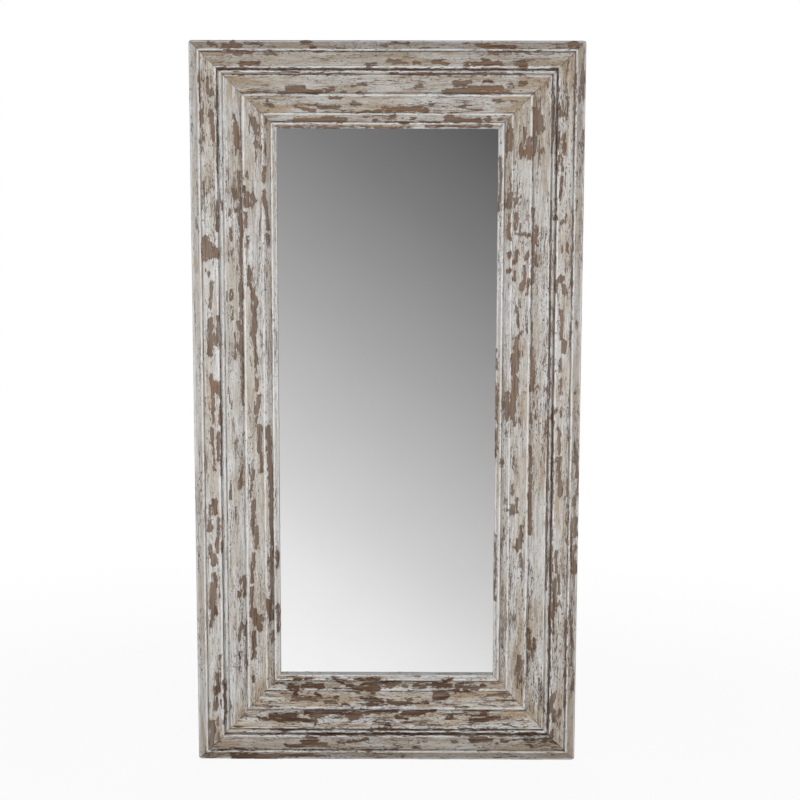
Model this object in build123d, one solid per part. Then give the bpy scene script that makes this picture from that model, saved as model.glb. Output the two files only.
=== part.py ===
from build123d import *
import os
from math import sqrt

# Floor mirror that leans or stands against a wall. Millimetres, +Z up, front faces -Y.
# The origin is the middle of the box round the whole object, on the floor.
# Most sizes are given in the rail's own section: "inset" runs inward from the frame's
# outer edge, and "height" runs forward from the outer front edge, so the glass is negative.

# Overall sizes
overall_width = 1065.0
overall_height = 2000.0
frame_depth = 100.0
corner_radius = 8.0
pad_thickness = 3.0
bumper_height = 10.0

# Outer moulding, from the outer edge inward
outer_arris = 3.0
outer_band_width = 22.0
outer_band_rise = 6.0
quirk_ridge_width = 6.0
quirk_ridge_height = 2.2
quirk_width = 4.0
quirk_depth = 3.2
flat_band_width = 35.5
flat_band_rise = 2.4
lip_width = 6.5
lip_height = 1.6
outer_thickness = 32.0

# Inner moulding, from its joint with the outer moulding inward
step_groove_width = 5.0
step_groove_depth = 10.0
step_groove_batter = 0.8
bead_width = 8.5
bead_fall = 4.0
bead_height = 4.5
bead_groove_width = 5.0
bead_groove_depth = 4.0
ovolo_width = 41.5
ovolo_fall = 1.5
ovolo_drop = 22.0
ovolo_swell = 2.6
shelf_groove_depth = 4.4
shelf_groove_width = 5.0
shelf_lip_width = 6.5
shelf_lip_height = 1.0
slope_width = 42.5
slope_drop = 15.0
slope_ridge_width = 7.0
slope_ridge_height = 1.6
roll_width = 17.0
roll_drop = 16.5
roll_swell = 1.8
seat_height = 12.0

# Sight slip beside the glass
slip_width = 16.0
slip_ridge_width = 8.0
slip_ridge_height = 2.4
slip_fall = 3.5
sight_wall = 15.5
glass_lap = 12.0

# Glass and backing
glass_thickness = 5.0
backing_thickness = 6.0
backing_lap = 32.0
packing_length = 40.0
packing_clearance = 0.2

# Timber behind the mouldings
back_batten_width = 45.0
glass_batten_width = 50.0
rib_thickness = 45.0
glue_gap = 0.2

# Joints inside the timber
dowel_radius = 4.0
dowel_length = 40.0
dowel_end_gap = 1.5
spline_thickness = 4.0
spline_length = 44.0
spline_reach = 12.0
spline_end_gap = 1.0
fit_clearance = 0.05

# Steel corner braces
brace_leg = 110.0
brace_width = 22.0
brace_thickness = 2.5
brace_round = 7.0
brace_hole_spots = (60.0, 95.0)

# Screws: shank radius, head radius and length
brace_screw = (2.0, 4.0, 28.0)
batten_screw = (2.5, 5.0, 64.0)
batten_screw_sunk = 10.0
backing_screw = (1.75, 3.5, 25.0)
hanger_screw = (2.25, 4.2, 35.0)
bumper_screw = (1.75, 3.4, 25.0)

# Strap hangers and their rings
hanger_level = 0.8
ring_wire_radius = 2.25
ring_half_width = 17.0
ring_corner_radius = 4.0
ring_arm = 14.0
ring_play = 0.08
strap_thickness = 2.0
strap_width = 20.0
strap_length = 70.0
strap_round = 7.0
strap_offset = 0.6
strap_hole_spots = (30.0, 45.0, 60.0)

# Rubber parts
pad_length = 90.0
pad_width = 70.0
bumper_radius = 12.5
bumper_round = 1.5
bumper_sunk = 5.0
bumper_inset_along = 150.0

# How many of each repeated piece go on a long rail (the sides) and on a short one
long_dowel_count = 5
short_dowel_count = 3
long_batten_screw_count = 6
short_batten_screw_count = 3
long_backing_screw_count = 6
short_backing_screw_count = 3
long_rib_count = 3
short_rib_count = 1
long_packing_count = 3
short_packing_count = 2
foot_pad_count = 4

# Stations of the outer moulding, as inset and height
ridge_start = outer_band_width
ridge_end = ridge_start + quirk_ridge_width
quirk_end = ridge_end + quirk_width
flat_end = quirk_end + flat_band_width
lip_end = flat_end + lip_width
joint_inset = lip_end + step_groove_width / 2
flat_height = outer_band_rise + flat_band_rise
step_height = flat_height - step_groove_depth

# Stations of the inner moulding
bead_start = joint_inset + step_groove_width / 2
bead_end = bead_start + bead_width
bead_foot = flat_height - bead_fall
ovolo_start = bead_end + bead_groove_width
ovolo_end = ovolo_start + ovolo_width
ovolo_top = bead_foot - ovolo_fall
ovolo_foot = ovolo_top - ovolo_drop
shelf_start = ovolo_end + shelf_groove_width
shelf_end = shelf_start + shelf_lip_width
shelf_height = ovolo_foot - shelf_groove_depth
slope_end = shelf_end + slope_width
slope_height = shelf_height - slope_drop
roll_start = slope_end + slope_ridge_width
roll_end = roll_start + roll_width
roll_foot = slope_height - roll_drop

# Stations of the slip and of what lies behind it
slip_inset = roll_end
sight_inset = slip_inset + slip_width
slip_lip_height = roll_foot - slip_fall
glass_front = slip_lip_height - sight_wall
glass_back = glass_front - glass_thickness
glass_inset = sight_inset - glass_lap
seat_level = roll_foot - seat_height
glass_batten_inset = slip_inset - glass_batten_width
backing_inset = slip_inset - backing_lap
backing_back = glass_back - backing_thickness

# The box round the whole object
crown_height = max(flat_height + lip_height, bead_foot + bead_height)
back_level = crown_height - frame_depth
total_depth = frame_depth + bumper_height
edge_y = crown_height - total_depth / 2
frame_height = overall_height - pad_thickness
middle_z = pad_thickness + frame_height / 2

# Axis of the rings
knuckle_bore = ring_wire_radius + ring_play
knuckle_radius = knuckle_bore + strap_thickness
ring_axis_level = back_level - knuckle_radius - strap_offset
hanger_inset = back_batten_width / 2
hanger_z = pad_thickness + frame_height * hanger_level

parts = {}


def side_plane(origin_x, origin_z, along):
    """The plane of one rail: its x runs along the rail, its y inward, its z forward."""
    return Plane(origin=(origin_x, edge_y, origin_z), x_dir=along, z_dir=(0, -1, 0))


# Each side of the frame: the plane of its rails, their length and whether they are the long ones
sides = {
    "top": (side_plane(0, overall_height, (-1, 0, 0)), overall_width, False),
    "bottom": (side_plane(0, pad_thickness, (1, 0, 0)), overall_width, False),
    "left": (side_plane(-overall_width / 2, middle_z, (0, 0, -1)), frame_height, True),
    "right": (side_plane(overall_width / 2, middle_z, (0, 0, 1)), frame_height, True),
}


def outline(start, *runs):
    """A closed section: each run is an end point, or a middle and an end point of an arc."""
    edges = []
    here = start
    for run in runs:
        if isinstance(run[0], tuple):
            edges.append(ThreePointArc(here, run[0], run[1]))
            here = run[1]
        else:
            edges.append(Line(here, run))
            here = run
    edges.append(Line(here, start))
    return make_face(edges)


def between(first, last, bulge):
    """An arc from one point to another, as its middle and end, raised by its bulge."""
    middle = ((first[0] + last[0]) / 2, (first[1] + last[1]) / 2 + bulge)
    return middle, last


def mitred(section, first, last, length):
    """A rail of this section, cut at 45 degrees at both ends, between two insets."""
    bar = extrude(Plane.YZ.offset(-length / 2) * section, amount=length)
    half = length / 2
    corners = [(first - half, first), (half - first, first), (half - last, last), (last - half, last)]
    wedge = extrude(make_face(Polyline(*corners, close=True)), amount=frame_depth * 2, both=True)
    return bar & wedge


def block(along, inset, height):
    """A box from its low and high limits along the rail, inward and forward."""
    size = [high - low for low, high in (along, inset, height)]
    centre = [(high + low) / 2 for low, high in (along, inset, height)]
    return Pos(*centre) * Box(*size)


def spread(count, span):
    """Evenly spaced places along a rail, with half a space left at each end."""
    return [span * ((index + 0.5) / count - 0.5) for index in range(count)]


def screw(size, grow=0.0):
    """A countersunk screw, head flush at z = 0 and point below, or its hole if it is grown."""
    shank, head, length = size
    shank = shank + grow
    head = head + grow
    point = 0 if grow else shank
    profile = [
        (0, 0),
        (head, 0),
        (shank, shank - head),
        (shank, point - length - grow),
        (0, -length - grow),
    ]
    return revolve(Plane.XZ * make_face(Polyline(*profile, close=True)), axis=Axis.Z)


def at_back(along, inset, level):
    """The place of a screw driven from the back of a rail."""
    return Pos(along, inset, level) * Rot(X=180)


# Sections of the three mouldings
outer_section = outline(
    (0, -outer_thickness),
    (0, -outer_arris),
    ((outer_arris * (1 - sqrt(0.5)), -outer_arris * (1 - sqrt(0.5))), (outer_arris, 0)),
    (ridge_start, outer_band_rise),
    between((ridge_start, outer_band_rise), (ridge_end, outer_band_rise), quirk_ridge_height),
    (ridge_end + quirk_width / 2, outer_band_rise - quirk_depth),
    (quirk_end, outer_band_rise),
    (flat_end, flat_height),
    between((flat_end, flat_height), (lip_end, flat_height), lip_height),
    (lip_end + step_groove_batter, step_height),
    (joint_inset, step_height),
    (joint_inset, -outer_thickness),
)
seat_inset = slip_inset - glass_batten_width / 2
inner_section = outline(
    (joint_inset, -outer_thickness),
    (joint_inset, step_height),
    (bead_start - step_groove_batter, step_height),
    (bead_start, bead_foot),
    between((bead_start, bead_foot), (bead_end, bead_foot), bead_height),
    (bead_end + bead_groove_width / 2, bead_foot - bead_groove_depth),
    (ovolo_start, ovolo_top),
    between((ovolo_start, ovolo_top), (ovolo_end, ovolo_foot), ovolo_swell),
    (ovolo_end + shelf_groove_width / 2, shelf_height),
    (shelf_start, shelf_height),
    between((shelf_start, shelf_height), (shelf_end, shelf_height), shelf_lip_height),
    (slope_end, slope_height),
    between((slope_end, slope_height), (roll_start, slope_height), slope_ridge_height),
    between((roll_start, slope_height), (roll_end, roll_foot), roll_swell),
    (roll_end, seat_level),
    (seat_inset, seat_level),
)
slip_section = outline(
    (slip_inset, glass_front),
    (slip_inset, roll_foot),
    between((slip_inset, roll_foot), (slip_inset + slip_ridge_width, roll_foot), slip_ridge_height),
    (sight_inset, slip_lip_height),
    (sight_inset, glass_front),
)


def make_outline_block():
    """The frame's outline seen from the front, with its rounded corners, as deep as the frame."""
    shape = RectangleRounded(overall_width, frame_height, corner_radius)
    plane = Plane(origin=(0, 0, middle_z), x_dir=(1, 0, 0), z_dir=(0, -1, 0))
    return extrude(plane * shape, amount=total_depth, both=True)


outline_block = make_outline_block()

def rib(along):
    """A rib block under the sloping moulding, from the back batten to the glass batten."""
    slope = (outer_thickness + seat_level) / (seat_inset - joint_inset)
    top = -outer_thickness - glue_gap
    end_top = top + slope * (glass_batten_inset - joint_inset)
    section = outline(
        (back_batten_width, glass_back),
        (back_batten_width, top),
        (joint_inset, top),
        (glass_batten_inset, end_top),
        (glass_batten_inset, glass_back),
    )
    return extrude(Plane.YZ.offset(along - rib_thickness / 2) * section, amount=rib_thickness)


def dowel(along, grow=0.0, end=0.0):
    """A dowel lying inward across the joint between the mouldings, or its hole."""
    shape = Cylinder(dowel_radius + grow, dowel_length + 2 * end)
    return Pos(along, joint_inset, dowel_level) * Rot(X=90) * shape


def spline(inset, level, half_length, sign, grow=0.0, end=0.0):
    """A flat spline across the mitre at one end of a rail, or its slot."""
    shape = Box(spline_length + 2 * end, 2 * (spline_reach + end), spline_thickness + 2 * grow)
    return Pos(sign * (half_length - inset), inset, level) * Rot(Z=-45 * sign) * shape


dowel_level = (step_height - outer_thickness) / 2
splines = {
    "outer_rail_": (joint_inset / 2, -outer_thickness / 2),
    "inner_rail_": ((joint_inset + ovolo_end) / 2, (ovolo_foot - outer_thickness) / 2),
}
groups = {
    "rail_dowels": [],
    "mitre_splines": [],
    "batten_screws": [],
    "backing_screws": [],
    "brace_screws": [],
    "hanger_screws": [],
    "bumper_screws": [],
    "glass_packing": [],
}
backing_holes = []

# The timber of each side, built in its own plane, with all that joins it
for side, (plane, length, is_long) in sides.items():
    outer = mitred(outer_section, 0, joint_inset, length)
    inner = mitred(inner_section, joint_inset, slip_inset, length)
    slip = mitred(slip_section, slip_inset, sight_inset, length)
    back_half = length / 2 - (0 if is_long else back_batten_width)
    back_batten = block((-back_half, back_half), (0, back_batten_width), (back_level, -outer_thickness))
    glass_half = length / 2 - (glass_batten_inset if is_long else slip_inset)
    glass_batten = block(
        (-glass_half, glass_half), (glass_batten_inset, slip_inset), (glass_back, seat_level)
    )

    dowel_count = long_dowel_count if is_long else short_dowel_count
    for along in spread(dowel_count, length - 2 * slip_inset):
        hole = dowel(along, fit_clearance, dowel_end_gap)
        outer -= hole
        inner -= hole
        groups["rail_dowels"].append(plane.location * dowel(along))

    for sign in (-1, 1):
        for piece, (inset, level) in splines.items():
            slot = spline(inset, level, length / 2, sign, fit_clearance, spline_end_gap)
            outer -= slot
            inner -= slot
            if not is_long:
                key = spline(inset, level, length / 2, sign)
                groups["mitre_splines"].append(plane.location * key)

    screw_count = long_batten_screw_count if is_long else short_batten_screw_count
    for along in spread(screw_count, length - 2 * brace_leg):
        place = at_back(along, back_batten_width / 2, back_level + batten_screw_sunk)
        hole = place * screw(batten_screw, fit_clearance)
        well = Cylinder(batten_screw[1] + fit_clearance, batten_screw_sunk)
        back_batten -= hole
        back_batten -= Pos(along, back_batten_width / 2, back_level + batten_screw_sunk / 2) * well
        outer -= hole
        groups["batten_screws"].append(plane.location * place * screw(batten_screw))

    screw_count = long_backing_screw_count if is_long else short_backing_screw_count
    for along in spread(screw_count, length - 2 * slip_inset):
        place = at_back(along, (backing_inset + slip_inset) / 2, backing_back)
        hole = place * screw(backing_screw, fit_clearance)
        glass_batten -= hole
        inner -= hole
        backing_holes.append(plane.location * hole)
        groups["backing_screws"].append(plane.location * place * screw(backing_screw))

    packing_count = long_packing_count if is_long else short_packing_count
    for along in spread(packing_count, length - 2 * glass_inset):
        strip = block(
            (along - packing_length / 2, along + packing_length / 2),
            (slip_inset, glass_inset),
            (glass_back + packing_clearance, glass_front - packing_clearance),
        )
        groups["glass_packing"].append(plane.location * strip)

    rib_count = long_rib_count if is_long else short_rib_count
    for index, along in enumerate(spread(rib_count, length - 2 * glass_batten_inset)):
        parts["rib_block_" + side + "_" + str(index + 1)] = plane.location * rib(along)

    parts["outer_rail_" + side] = plane.location * outer & outline_block
    parts["inner_rail_" + side] = plane.location * inner
    parts["sight_slip_" + side] = plane.location * slip
    parts["back_batten_" + side] = plane.location * back_batten & outline_block
    parts["glass_batten_" + side] = plane.location * glass_batten

# Glass and its backing board
panel_plane = Plane(origin=(0, edge_y, middle_z), x_dir=(1, 0, 0), z_dir=(0, -1, 0))


def panel(inset, back, front):
    """A flat rectangular panel whose edge lies at an inset from the frame's outer edge."""
    half_width = overall_width / 2 - inset
    half_height = frame_height / 2 - inset
    solid = block((-half_width, half_width), (-half_height, half_height), (back, front))
    return panel_plane.location * solid


parts["mirror_glass"] = panel(glass_inset, glass_back, glass_front)
backing = panel(backing_inset, backing_back, glass_back)
for hole in backing_holes:
    backing -= hole
parts["backing_board"] = backing

# Corner braces, and the pieces screwed to the back battens
brace_start = (back_batten_width - brace_width) / 2


def corner_brace():
    """A flat L of steel whose corner is at the origin, with legs along x and y."""
    leg_x = block((0, brace_leg), (0, brace_width), (-brace_thickness, 0))
    leg_y = block((0, brace_width), (0, brace_leg), (-brace_thickness, 0))
    plate = leg_x + leg_y
    upright = plate.edges().filter_by(Axis.Z)
    ends = upright.sort_by(lambda edge: -(edge.center().X + edge.center().Y))[0:4]
    return fillet(ends, brace_round)


def brace_places():
    """Where a brace's four screws go, in its own plane."""
    places = []
    for spot in brace_hole_spots:
        places.append((spot, brace_width / 2))
        places.append((brace_width / 2, spot))
    return places


for vertical, sign_z in (("top", -1), ("bottom", 1)):
    for horizontal, sign_x in (("left", 1), ("right", -1)):
        edge_z = overall_height if sign_z < 0 else pad_thickness
        origin = Pos(
            -sign_x * (overall_width / 2 - brace_start), edge_y - back_level, edge_z + sign_z * brace_start
        )
        turn = {(1, 1): 0, (-1, 1): 90, (-1, -1): 180, (1, -1): 270}[(sign_x, sign_z)]
        place = origin * Rot(Y=-turn) * Rot(X=90)
        plate = corner_brace()
        for hole_x, hole_y in brace_places():
            drive = Pos(hole_x, hole_y, -brace_thickness) * Rot(X=180)
            plate -= drive * screw(brace_screw, fit_clearance)
            groups["brace_screws"].append(place * drive * screw(brace_screw))
            for name in ("back_batten_" + vertical, "back_batten_" + horizontal):
                parts[name] -= place * drive * screw(brace_screw, fit_clearance)
        parts["corner_brace_" + vertical + "_" + horizontal] = place * plate


# Strap hangers with their swinging rings
def strap_hanger():
    """The strap in its own frame: the ring's axis is at the origin along x, +Y to the wall."""
    back_y = ring_axis_level - back_level
    plate = block(
        (-strap_width / 2, strap_width / 2), (back_y, back_y + strap_thickness), (-strap_length, 0)
    )
    lower = plate.edges().filter_by(Axis.Y).group_by(Axis.Z)[0]
    plate = fillet(lower, strap_round)
    knuckle = Rot(Y=90) * Cylinder(knuckle_radius, strap_width)
    bore = Rot(Y=90) * Cylinder(knuckle_bore, strap_width)
    return plate + knuckle - bore


def d_ring():
    """The ring in its own frame, hanging down from its straight bar along x."""
    half = ring_half_width
    corner = ring_corner_radius
    bend = corner * (1 - sqrt(0.5))
    path = [
        Line((-half + corner, 0), (half - corner, 0)),
        ThreePointArc((half - corner, 0), (half - bend, -bend), (half, -corner)),
        Line((half, -corner), (half, -ring_arm)),
        ThreePointArc((half, -ring_arm), (0, -ring_arm - half), (-half, -ring_arm)),
        Line((-half, -ring_arm), (-half, -corner)),
        ThreePointArc((-half, -corner), (-half + bend, -bend), (-half + corner, 0)),
    ]
    wire = Plane.XZ * Wire(path)
    start = Plane(origin=wire @ 0, z_dir=wire % 0)
    return sweep(start * Circle(ring_wire_radius), path=wire)


for side, sign in (("left", -1), ("right", 1)):
    centre_x = sign * (overall_width / 2 - hanger_inset)
    place = Pos(centre_x, edge_y - ring_axis_level, hanger_z)
    strap = strap_hanger()
    for below in strap_hole_spots:
        face_y = ring_axis_level - back_level + strap_thickness
        drive = Pos(0, face_y, -below) * Rot(X=-90)
        strap -= drive * screw(hanger_screw, fit_clearance)
        groups["hanger_screws"].append(place * drive * screw(hanger_screw))
        parts["back_batten_" + side] -= place * drive * screw(hanger_screw, fit_clearance)
    parts["strap_hanger_" + side] = place * strap
    parts["d_ring_" + side] = place * d_ring()

# Rubber bumpers on the back and pads under the bottom rail
for vertical, bumper_z in (
    ("top", overall_height - bumper_inset_along),
    ("bottom", pad_thickness + bumper_inset_along),
):
    for horizontal, sign in (("left", -1), ("right", 1)):
        centre_x = sign * (overall_width / 2 - back_batten_width / 2)
        place = Pos(centre_x, edge_y - back_level, bumper_z) * Rot(X=-90)
        rubber = Pos(0, 0, bumper_height / 2) * Cylinder(bumper_radius, bumper_height)
        rubber = fillet(rubber.edges().group_by(Axis.Z)[-1], bumper_round)
        well = Cylinder(bumper_screw[1] + fit_clearance, bumper_sunk)
        rubber -= Pos(0, 0, bumper_height - bumper_sunk / 2) * well
        drive = Pos(0, 0, bumper_height - bumper_sunk)
        rubber -= drive * screw(bumper_screw, fit_clearance)
        parts["wall_bumper_" + vertical + "_" + horizontal] = place * rubber
        parts["back_batten_" + horizontal] -= place * drive * screw(bumper_screw, fit_clearance)
        groups["bumper_screws"].append(place * drive * screw(bumper_screw))

pad_centre_y = edge_y - back_level / 2
for index, centre_x in enumerate(spread(foot_pad_count, overall_width)):
    rubber = Pos(centre_x, pad_centre_y, pad_thickness / 2) * Box(pad_length, pad_width, pad_thickness)
    parts["foot_pad_" + str(index + 1)] = rubber

for name, solids in groups.items():
    parts[name] = Compound(children=solids)

os.makedirs("parts", exist_ok=True)
for name, shape in parts.items():
    shape.label = name
    export_step(shape, "parts/" + name + ".step")
print(len(parts), "nodes, depth", round(total_depth, 2), "sight inset", round(sight_inset, 2))
print("glass front", round(glass_front, 2), "backing back", round(backing_back, 2), "back", round(back_level, 2))
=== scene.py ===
import math

import bpy
from mathutils import Matrix, Vector


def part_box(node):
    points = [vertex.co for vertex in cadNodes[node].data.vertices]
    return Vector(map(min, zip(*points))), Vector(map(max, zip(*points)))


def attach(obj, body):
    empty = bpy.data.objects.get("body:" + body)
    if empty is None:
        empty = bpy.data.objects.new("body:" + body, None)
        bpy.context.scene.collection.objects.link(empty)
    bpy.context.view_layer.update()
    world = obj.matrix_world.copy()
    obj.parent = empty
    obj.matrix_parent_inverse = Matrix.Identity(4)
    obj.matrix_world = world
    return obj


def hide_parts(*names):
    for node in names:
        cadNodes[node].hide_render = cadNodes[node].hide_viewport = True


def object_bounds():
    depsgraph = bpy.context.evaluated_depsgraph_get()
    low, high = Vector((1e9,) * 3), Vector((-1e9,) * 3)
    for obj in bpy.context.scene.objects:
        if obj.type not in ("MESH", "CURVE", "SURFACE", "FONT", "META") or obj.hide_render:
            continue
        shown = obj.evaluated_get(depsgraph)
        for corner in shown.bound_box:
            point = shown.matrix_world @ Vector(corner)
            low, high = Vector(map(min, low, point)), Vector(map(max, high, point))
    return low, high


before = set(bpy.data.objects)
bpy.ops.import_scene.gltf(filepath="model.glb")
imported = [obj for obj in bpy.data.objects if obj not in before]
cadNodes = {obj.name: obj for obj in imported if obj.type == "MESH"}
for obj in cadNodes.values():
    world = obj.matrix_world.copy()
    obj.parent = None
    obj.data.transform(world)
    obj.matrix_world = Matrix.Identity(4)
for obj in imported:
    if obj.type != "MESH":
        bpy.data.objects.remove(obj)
cadLow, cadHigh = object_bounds()
mm = 0.001
floorGap = 3 * mm  # the foot pads hold the frame off the floor
print("frame loaded,", len(cadNodes), "nodes")


def tint(red, green, blue):
    # a colour picked in ordinary 0-255 steps, as the shaders want it
    steps = [c / 255 for c in (red, green, blue)]
    return tuple(c / 12.92 if c <= 0.04045 else ((c + 0.055) / 1.055) ** 2.4 for c in steps) + (1.0,)


def addObject(name, data):
    made = bpy.data.objects.new(name, data)
    bpy.context.scene.collection.objects.link(made)
    return made


class Flow:
    # one socket's value; Python's operators on it add Math nodes to its tree

    def __init__(self, sheet, socket):
        self.sheet, self.socket = sheet, socket

    def calc(self, operation, *others):
        return self.sheet.calc(operation, self, *others)

    def __add__(self, other):
        return self.calc("ADD", other)

    def __radd__(self, other):
        return self.sheet.calc("ADD", other, self)

    def __sub__(self, other):
        return self.calc("SUBTRACT", other)

    def __rsub__(self, other):
        return self.sheet.calc("SUBTRACT", other, self)

    def __mul__(self, other):
        return self.calc("MULTIPLY", other)

    def __rmul__(self, other):
        return self.sheet.calc("MULTIPLY", other, self)

    def __truediv__(self, other):
        return self.calc("DIVIDE", other)

    def __neg__(self):
        return self.calc("MULTIPLY", -1.0)

    def least(self, other):
        return self.calc("MINIMUM", other)

    def most(self, other):
        return self.calc("MAXIMUM", other)

    def size(self):
        return self.calc("ABSOLUTE")

    def swing(self, reach):
        # a noise, which averages a half, as a push to either side
        return (self - 0.5) * reach

    def ease(self, low, high):
        # 0 below low, 1 above high, smooth in between
        return self.sheet.put("ShaderNodeMapRange", {"interpolation_type": "SMOOTHSTEP"},
                              {"Value": self, "From Min": low, "From Max": high})

    def also(self, name):
        # another output of the same node
        return Flow(self.sheet, self.socket.node.outputs[name])

    def axis(self, letter):
        return self.sheet.put("ShaderNodeSeparateXYZ", None, {"Vector": self}, letter)


class Sheet:
    # a node tree being written

    def __init__(self, tree):
        self.tree = tree

    def put(self, kind, settings=None, values=None, out=None):
        # any node: its settings first, then the values or links of its sockets; gives the output asked for
        node = self.tree.nodes.new(kind)
        node.location = (len(self.tree.nodes) * 60, 0)
        for name, value in (settings or {}).items():
            if name == "stops":
                ramp = node.color_ramp.elements
                while len(ramp) < len(value):
                    ramp.new(1.0)
                for stop, (place, colour) in zip(ramp, value):
                    stop.position, stop.color = place, colour
            else:
                setattr(node, name, value)
        for name, value in (values or {}).items():
            socket = node.inputs[name] if isinstance(name, int) else next(
                s for s in node.inputs if s.enabled and s.name == name)
            if isinstance(value, Flow):
                self.tree.links.new(value.socket, socket)
            else:
                socket.default_value = value
        if not node.outputs:
            return node
        return Flow(self, next(s for s in node.outputs if s.enabled and out in (None, s.name)))

    def calc(self, operation, *values):
        return self.put("ShaderNodeMath", {"operation": operation}, dict(enumerate(values)))

    def arrow(self, operation, *values, out=None):
        places = (0, 3) if operation == "SCALE" else (0, 1)  # a scale's number has the fourth socket
        return self.put("ShaderNodeVectorMath", {"operation": operation}, dict(zip(places, values)), out)

    def join(self, x=0.0, y=0.0, z=0.0):
        return self.put("ShaderNodeCombineXYZ", None, {"X": x, "Y": y, "Z": z})

    def blend(self, share, first, second):
        return self.put("ShaderNodeMix", {"data_type": "RGBA"}, {"Factor": share, "A": first, "B": second})

    def noise(self, vector, scale=1.0, detail=2.0, roughness=0.5, distortion=0.0):
        return self.put("ShaderNodeTexNoise", None, {
            "Vector": vector, "Scale": scale, "Detail": detail, "Roughness": roughness, "Distortion": distortion})

    def mark(self, name, kind="FLOAT"):
        # reads a named attribute, in a geometry tree or in a material
        if self.tree.type == "GEOMETRY":
            return self.put("GeometryNodeInputNamedAttribute", {"data_type": kind}, {"Name": name}, "Attribute")
        return self.put("ShaderNodeAttribute", {"attribute_name": name}, None,
                        "Vector" if kind == "FLOAT_VECTOR" else "Fac")

    def store(self, geometry, name, value, kind="FLOAT"):
        return self.put("GeometryNodeStoreNamedAttribute", {"data_type": kind, "domain": "POINT"},
                        {"Geometry": geometry, "Name": name, "Value": value})

    def shapeOf(self, thing):
        return self.put("GeometryNodeObjectInfo", None, {"Object": thing}, "Geometry")

    def evenSteps(self, curve, step):
        return self.put("GeometryNodeResampleCurve", {"mode": "LENGTH"}, {"Curve": curve, "Length": step})

    def shade(self, geometry, smooth, domain="FACE", **only):
        return self.put("GeometryNodeSetShadeSmooth", {"domain": domain},
                        {"Geometry": geometry, "Shade Smooth": smooth, **only})


def newMaterial(name):
    # an empty material, its sheet, and the place of each point in the object's own coordinates
    material = bpy.data.materials.new(name)
    material.use_nodes = True
    material.node_tree.nodes.clear()
    sheet = Sheet(material.node_tree)
    return material, sheet, sheet.put("ShaderNodeTexCoord", None, None, "Object")


def finishMaterial(sheet, values, height=None, depth=0.0):
    # one Principled shader, with a bump from a height where there is one
    if height is not None:
        values["Normal"] = sheet.put("ShaderNodeBump", None, {"Strength": 1.0, "Distance": depth, "Height": height})
    shader = sheet.put("ShaderNodeBsdfPrincipled", None, values)
    sheet.put("ShaderNodeOutputMaterial", None, {"Surface": shader})


paintLook = {
    "bright": tint(216, 217, 217), "plain": tint(194, 191, 185), "shade": tint(158, 148, 136),
    "cream": tint(186, 177, 161), "ochre": tint(166, 140, 102), "shadeGrimeTone": tint(132, 122, 110),
    "bareGrey": tint(131, 115, 102), "bareWarm": tint(136, 105, 82), "bareDark": tint(74, 57, 46),
    "dirtAndShade": tint(52, 40, 33), "pineDeep": tint(168, 128, 84), "pineLight": tint(205, 170, 122),
    "pineDust": tint(190, 186, 176),
}
paintNoise = {  # scale along the grain and across it, detail, roughness, shift of the pattern
    "jag": (60, 300, 4.0, 0.7, 0.0), "rag": (20, 130, 4.0, 0.7, 17.0), "patch": (3.5, 13, 3.0, 0.55, 34.0),
    "thin": (9, 70, 5.0, 0.65, 3.1), "blotch": (4.5, 24, 4.0, 0.6, 7.7), "broad": (6, 120, 5.0, 0.7, 1.3),
    "narrow": (14, 290, 4.0, 0.7, 2.9), "fibre": (60, 1300, 2.0, 0.6, 5.2), "crackLine": (7, 125, 4.0, 0.6, 9.4),
    "crackArea": (9, 60, 3.0, 0.6, 12.0), "speck": (120, 330, 3.0, 0.65, 15.0),
    "fray": (24, 240, 4.0, 0.75, 19.0), "dots": (95, 210, 3.0, 0.65, 37.0), "hue": (7, 26, 3.0, 0.6, 21.0),
    "groove": (26, 120, 4.0, 0.6, 27.0), "joint": (40, 60, 2.0, 0.5, 31.0),
}
paintWear = {
    "jagReach": 19.0, "ragReach": 22.0,  # how far noise frays a flake's edge
    "cornerReach": 130 * mm,  # how far the mitres' stains go
    "shadeHeight": 1.15,  # below this the wood and paint get darker, a painted shade
    "cream": 0.5, "shade": 0.42, "stain": 0.45, "grimeAndShade": 0.22,  # how strongly the paint is discoloured; grimeAndShade is grime and painted shade
    "bareStreaks": 0.6, "paintInGrain": 0.4, "lipShadow": 0.5, "rimDirtAndShade": 0.35,
    "grooveDirtAndShade": 0.18, "jointDirt": 0.75, "jointWidth": 2.0 * mm, "relief": 0.9 * mm,
}


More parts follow.
